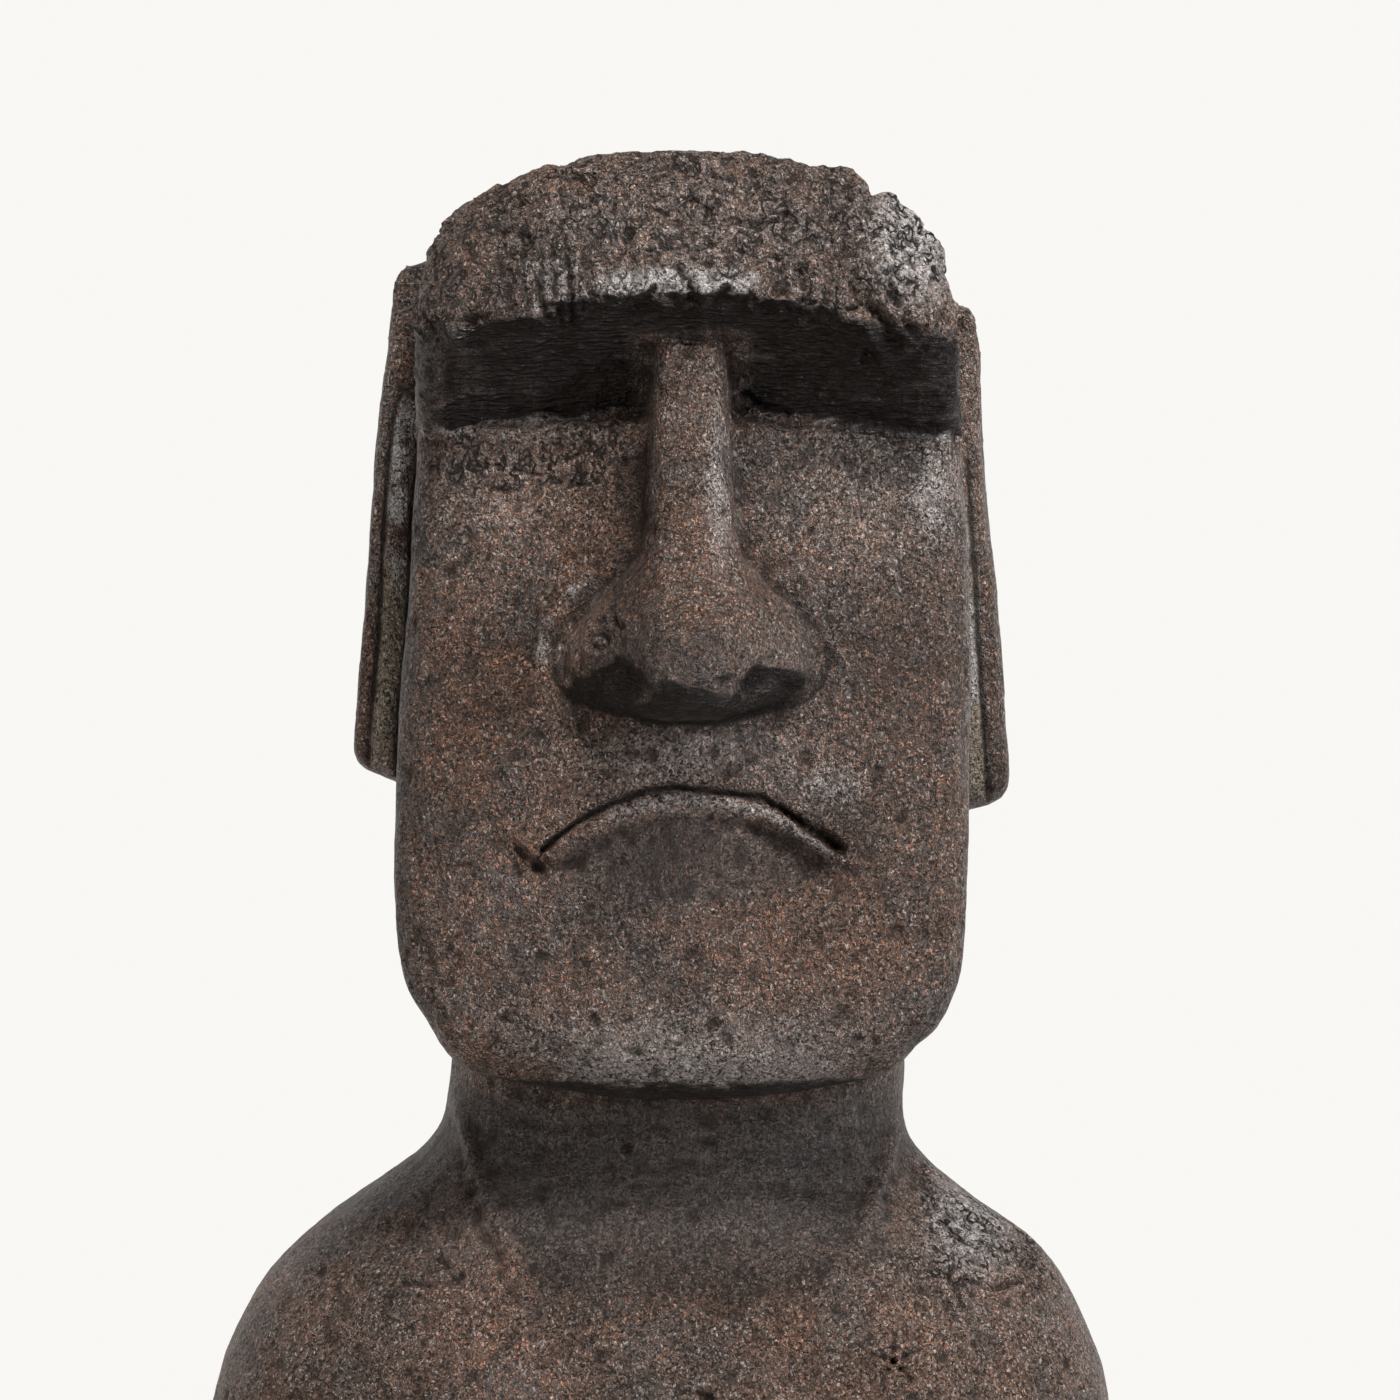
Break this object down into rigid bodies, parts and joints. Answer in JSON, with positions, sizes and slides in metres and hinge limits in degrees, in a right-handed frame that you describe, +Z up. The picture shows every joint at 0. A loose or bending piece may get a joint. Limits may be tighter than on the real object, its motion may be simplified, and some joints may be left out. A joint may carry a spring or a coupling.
{
  "type": "moai stone head statue",
  "caption": "Moai bust: a tall block head with a slab brow, long nose, thin downturned mouth and long ears, on a short neck and plain broad shoulders with a flat underside.",
  "frame": {"origin": "middle of the flat underside, at the middle of the bust's width and depth", "axes": "+Z up, the face looks along -Y, +X to the viewer's right of the face"},
  "size_m": [0.387, 0.2706, 0.62],
  "materials": {
    "stone": "satin"
  },
  "bodies": {
    "root": {"moai_bust": "stone"}
  },
  "joints": []
}
